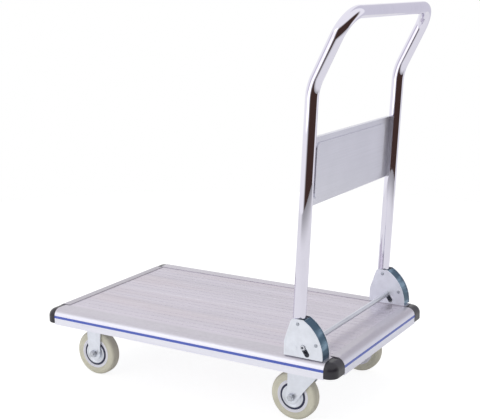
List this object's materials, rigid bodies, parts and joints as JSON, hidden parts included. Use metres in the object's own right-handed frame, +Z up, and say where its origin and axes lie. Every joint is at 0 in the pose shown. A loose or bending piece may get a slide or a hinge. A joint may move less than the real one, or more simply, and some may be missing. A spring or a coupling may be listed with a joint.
{
  "type": "folding platform cart",
  "caption": "Flat hand cart with a framed plank deck, rigid and swivel casters, and a tubular push handle that folds down onto the deck.",
  "frame": {"origin": "on the floor under the middle of the cart's bounding box", "axes": "+Z up, +X towards the handle end, -Y towards the near side"},
  "size_m": [0.7148, 0.4516, 0.8165],
  "materials": {
    "deck_aluminium": "satin anodised, finely ribbed",
    "rail_aluminium": "satin anodised",
    "edge_stripe": "smooth",
    "cap_plastic": "fine grain",
    "bearer_steel": "zinc coated",
    "fastener_steel": "zinc plated",
    "ball_steel": "polished",
    "fork_zinc": "bright zinc plated",
    "sleeve_steel": "turned",
    "tyre_rubber": "smooth, non-marking",
    "wheel_core": "moulded",
    "dust_cover": "pressed, zinc plated",
    "hinge_zinc": "bright zinc plated",
    "guard_steel": "bright",
    "washer_nylon": "natural",
    "spring_steel": "oiled",
    "bar_chrome": "bright",
    "handle_chrome": "bright",
    "plug_plastic": "moulded",
    "latch_steel": "zinc plated",
    "panel_chrome": "bright"
  },
  "bodies": {
    "platform": {"bearer_rivets": "fastener_steel", "caster_bolts": "fastener_steel", "corner_cap_front_far": "cap_plastic", "corner_cap_front_near": "cap_plastic", "corner_cap_rear_far": "cap_plastic", "corner_cap_rear_near": "cap_plastic", "cross_bearers": "bearer_steel", "deck_plank_1": "deck_aluminium", "deck_plank_2": "deck_aluminium", "deck_plank_3": "deck_aluminium", "deck_plank_4": "deck_aluminium", "edge_stripes": "edge_stripe", "end_rail_front": "rail_aluminium", "end_rail_rear": "rail_aluminium", "front_axle_sleeves": "sleeve_steel", "front_axles": "fastener_steel", "front_fork_far": "fork_zinc", "front_fork_near": "fork_zinc", "hinge_guard_far": "guard_steel", "hinge_guard_near": "guard_steel", "hinge_inner_plate_far": "hinge_zinc", "hinge_inner_plate_near": "hinge_zinc", "hinge_outer_plate_far": "hinge_zinc", "hinge_outer_plate_near": "hinge_zinc", "hinge_pins": "fastener_steel", "hinge_rivets": "fastener_steel", "hinge_screws": "fastener_steel", "hinge_washers": "washer_nylon", "kingpins": "fastener_steel", "side_rail_far": "rail_aluminium", "side_rail_near": "rail_aluminium", "swivel_balls": "ball_steel", "swivel_plate_far": "fork_zinc", "swivel_plate_near": "fork_zinc"},
    "handle": {"back_panel": "panel_chrome", "handle_foot_plugs": "plug_plastic", "handle_tube": "handle_chrome", "latch_plates": "latch_steel"},
    "release_bar": {"release_bar": "bar_chrome", "release_bar_clips": "fastener_steel"},
    "return_springs": {"release_springs": "spring_steel"},
    "wheel_front_near": {"dust_covers_front_near": "dust_cover", "tyre_front_near": "tyre_rubber", "wheel_core_front_near": "wheel_core"},
    "wheel_front_far": {"dust_covers_front_far": "dust_cover", "tyre_front_far": "tyre_rubber", "wheel_core_front_far": "wheel_core"},
    "swivel_near": {"swivel_axle_near": "fastener_steel", "swivel_axle_sleeve_near": "sleeve_steel", "swivel_fork_near": "fork_zinc"},
    "wheel_rear_near": {"dust_covers_rear_near": "dust_cover", "tyre_rear_near": "tyre_rubber", "wheel_core_rear_near": "wheel_core"},
    "swivel_far": {"swivel_axle_far": "fastener_steel", "swivel_axle_sleeve_far": "sleeve_steel", "swivel_fork_far": "fork_zinc"},
    "wheel_rear_far": {"dust_covers_rear_far": "dust_cover", "tyre_rear_far": "tyre_rubber", "wheel_core_rear_far": "wheel_core"}
  },
  "joints": [
    {"name": "handle_fold", "type": "hinge", "parent": "platform", "child": "handle", "pos_m": [0.25414, 0, 0.1717], "axis": [0, -1, 0], "range_deg": [0, 92]},
    {"name": "release_bar_slide", "type": "slide", "parent": "platform", "child": "release_bar", "axis": [0.5579, 0, -0.8299], "range_m": [0, 0.0155], "stiffness_N_per_m": 400, "springref_m": -0.02},
    {"name": "return_spring_turn", "type": "hinge", "parent": "platform", "child": "return_springs", "pos_m": [0.30035, 0, 0.1842], "axis": [0, -1, 0], "range_deg": [0, 31.7]},
    {"name": "front_wheel_spin_near", "type": "hinge", "parent": "platform", "child": "wheel_front_near", "pos_m": [-0.26675, -0.1566, 0.05], "axis": [0, 1, 0], "continuous": true},
    {"name": "front_wheel_spin_far", "type": "hinge", "parent": "platform", "child": "wheel_front_far", "pos_m": [-0.26675, 0.1566, 0.05], "axis": [0, 1, 0], "continuous": true},
    {"name": "caster_swivel_near", "type": "hinge", "parent": "platform", "child": "swivel_near", "pos_m": [0.25925, -0.1566, 0.121], "axis": [0, 0, 1], "continuous": true},
    {"name": "rear_wheel_spin_near", "type": "hinge", "parent": "swivel_near", "child": "wheel_rear_near", "pos_m": [0.22625, -0.1566, 0.05], "axis": [0, 1, 0], "continuous": true},
    {"name": "caster_swivel_far", "type": "hinge", "parent": "platform", "child": "swivel_far", "pos_m": [0.25925, 0.1566, 0.121], "axis": [0, 0, 1], "continuous": true},
    {"name": "rear_wheel_spin_far", "type": "hinge", "parent": "swivel_far", "child": "wheel_rear_far", "pos_m": [0.22625, 0.1566, 0.05], "axis": [0, 1, 0], "continuous": true}
  ],
  "couplings": [
    {"joint": "return_spring_turn", "follows": "release_bar_slide", "rad_per_m": 35.5}
  ]
}
